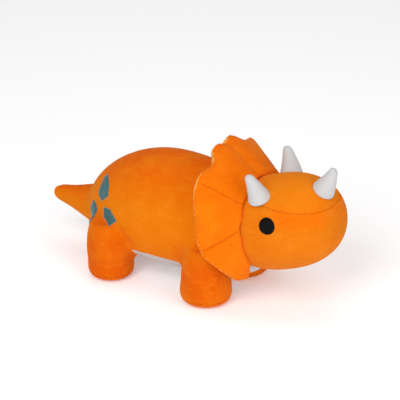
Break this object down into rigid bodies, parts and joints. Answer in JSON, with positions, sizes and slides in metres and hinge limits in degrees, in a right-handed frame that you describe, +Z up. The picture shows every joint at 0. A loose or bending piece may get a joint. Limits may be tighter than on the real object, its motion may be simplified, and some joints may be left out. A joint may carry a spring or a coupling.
{
  "type": "stuffed dinosaur",
  "caption": "Stuffed three-horned dinosaur toy on stubby legs, with a scalloped neck frill, a tapered tail and soft horns; it stands on its soles and flexes by hand.",
  "frame": {"origin": "middle of the toy's box, on the floor under its soles", "axes": "+X towards the nose, +Y to the toy's left, +Z up"},
  "size_m": [0.3017, 0.1282, 0.1487],
  "materials": {
    "orange_pile": "short velvety pile, soft sheen",
    "white_pile": "short velvety pile, soft sheen",
    "teal_patch": "short pile patch with a stitched edge",
    "eye_black": "dense satin embroidery",
    "fibre": "loose polyester fibre"
  },
  "bodies": {
    "torso": {"torso_stuffing": "fibre", "right_side_panel": "orange_pile", "left_side_panel": "orange_pile", "belly_panel": "white_pile", "lower_spot_left": "teal_patch", "lower_spot_right": "teal_patch", "rear_spot_left": "teal_patch", "rear_spot_right": "teal_patch", "upper_spot_left": "teal_patch", "upper_spot_right": "teal_patch"},
    "neck": {"neck_stuffing": "fibre"},
    "head": {"head_stuffing": "fibre", "crown_gusset": "orange_pile", "right_cheek_panel": "orange_pile", "left_cheek_panel": "orange_pile", "chin_panel": "orange_pile", "right_eye": "eye_black", "left_eye": "eye_black", "frill_lining": "orange_pile", "frill_lower_left": "orange_pile", "frill_lower_right": "orange_pile", "frill_middle_left": "orange_pile", "frill_middle_right": "orange_pile", "frill_upper_left": "orange_pile", "frill_upper_right": "orange_pile"},
    "tail": {"tail_skin": "orange_pile", "tail_stuffing": "fibre"},
    "right_brow_horn": {"right_brow_horn": "white_pile"},
    "left_brow_horn": {"left_brow_horn": "white_pile"},
    "nose_horn": {"nose_horn": "white_pile"},
    "front_right_leg": {"front_right_leg_stuffing": "fibre", "front_right_leg_sleeve": "orange_pile", "front_right_sole": "orange_pile"},
    "front_left_leg": {"front_left_leg_stuffing": "fibre", "front_left_leg_sleeve": "orange_pile", "front_left_sole": "orange_pile"},
    "rear_right_leg": {"rear_right_leg_stuffing": "fibre", "rear_right_leg_sleeve": "orange_pile", "rear_right_sole": "orange_pile"},
    "rear_left_leg": {"rear_left_leg_stuffing": "fibre", "rear_left_leg_sleeve": "orange_pile", "rear_left_sole": "orange_pile"}
  },
  "joints": [
    {"name": "neck_turn", "type": "hinge", "parent": "torso", "child": "neck", "pos_m": [0.0531, 0, 0.076], "axis": [0, 0, 1], "range_deg": [-5, 5], "stiffness_Nm_per_rad": 2},
    {"name": "head_nod", "type": "hinge", "parent": "neck", "child": "head", "pos_m": [0.0531, 0, 0.076], "axis": [0, 1, 0], "range_deg": [-9, 4], "stiffness_Nm_per_rad": 2},
    {"name": "tail_wag", "type": "hinge", "parent": "torso", "child": "tail", "pos_m": [-0.0959, 0, 0.052], "axis": [0, 0, 1], "range_deg": [-15, 15], "stiffness_Nm_per_rad": 0.1},
    {"name": "front_right_leg_swing", "type": "hinge", "parent": "torso", "child": "front_right_leg", "pos_m": [0.0301, -0.034, 0.045], "axis": [0, 1, 0], "range_deg": [-10, 10], "stiffness_Nm_per_rad": 0.5},
    {"name": "front_left_leg_swing", "type": "hinge", "parent": "torso", "child": "front_left_leg", "pos_m": [0.0301, 0.034, 0.045], "axis": [0, 1, 0], "range_deg": [-10, 10], "stiffness_Nm_per_rad": 0.5},
    {"name": "rear_right_leg_swing", "type": "hinge", "parent": "torso", "child": "rear_right_leg", "pos_m": [-0.0704, -0.034, 0.044], "axis": [0, 1, 0], "range_deg": [-12, 12], "stiffness_Nm_per_rad": 0.5},
    {"name": "rear_left_leg_swing", "type": "hinge", "parent": "torso", "child": "rear_left_leg", "pos_m": [-0.0704, 0.034, 0.044], "axis": [0, 1, 0], "range_deg": [-12, 12], "stiffness_Nm_per_rad": 0.5},
    {"name": "right_brow_horn_flex", "type": "hinge", "parent": "head", "child": "right_brow_horn", "pos_m": [0.0821, -0.029, 0.11437], "axis": [0, 1, 0], "range_deg": [-12, 12], "stiffness_Nm_per_rad": 0.01},
    {"name": "left_brow_horn_flex", "type": "hinge", "parent": "head", "child": "left_brow_horn", "pos_m": [0.0821, 0.029, 0.11437], "axis": [0, 1, 0], "range_deg": [-12, 12], "stiffness_Nm_per_rad": 0.01},
    {"name": "nose_horn_flex", "type": "hinge", "parent": "head", "child": "nose_horn", "pos_m": [0.1321, 0, 0.12281], "axis": [0, 1, 0], "range_deg": [-12, 12], "stiffness_Nm_per_rad": 0.01}
  ]
}
